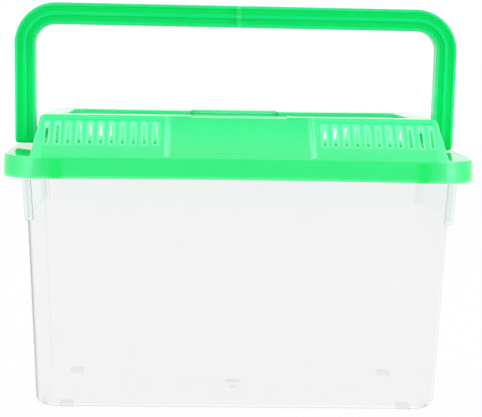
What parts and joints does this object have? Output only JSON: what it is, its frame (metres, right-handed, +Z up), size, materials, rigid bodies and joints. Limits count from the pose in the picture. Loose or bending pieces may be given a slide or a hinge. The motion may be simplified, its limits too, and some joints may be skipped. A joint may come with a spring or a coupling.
{
  "type": "plastic pet keeper",
  "caption": "Clear plastic tub with a green vented snap-over lid, a hinged feeding hatch in the lid's flat top and a swinging carrying handle.",
  "frame": {"origin": "centre of the footprint, on the surface that the feet stand on", "axes": "+X along the keeper, +Y to its back (the front faces -Y), +Z up"},
  "size_m": [0.3016, 0.193, 0.2635],
  "materials": {
    "clear_plastic": "clear injection-moulded polystyrene, glossy",
    "lid_green": "glossy green plastic that lets a little light through",
    "hatch_green": "the lid's green plastic, glossy",
    "handle_green": "the same green in a thicker section, so it looks deeper"
  },
  "bodies": {
    "tub": {"tub": "clear_plastic"},
    "lid": {"lid": "lid_green"},
    "hatch": {"hatch": "hatch_green"},
    "handle": {"handle": "handle_green"}
  },
  "joints": [
    {"name": "lid_lift", "type": "slide", "parent": "tub", "child": "lid", "axis": [0, 0, 1], "range_m": [0, 0.08]},
    {"name": "hatch_hinge", "type": "hinge", "parent": "lid", "child": "hatch", "pos_m": [0, 0.052, 0.1894], "axis": [-1, 0, 0], "range_deg": [0, 43]},
    {"name": "handle_swing", "type": "hinge", "parent": "lid", "child": "handle", "pos_m": [0, 0, 0.175], "axis": [1, 0, 0], "range_deg": [-73, 73]}
  ]
}
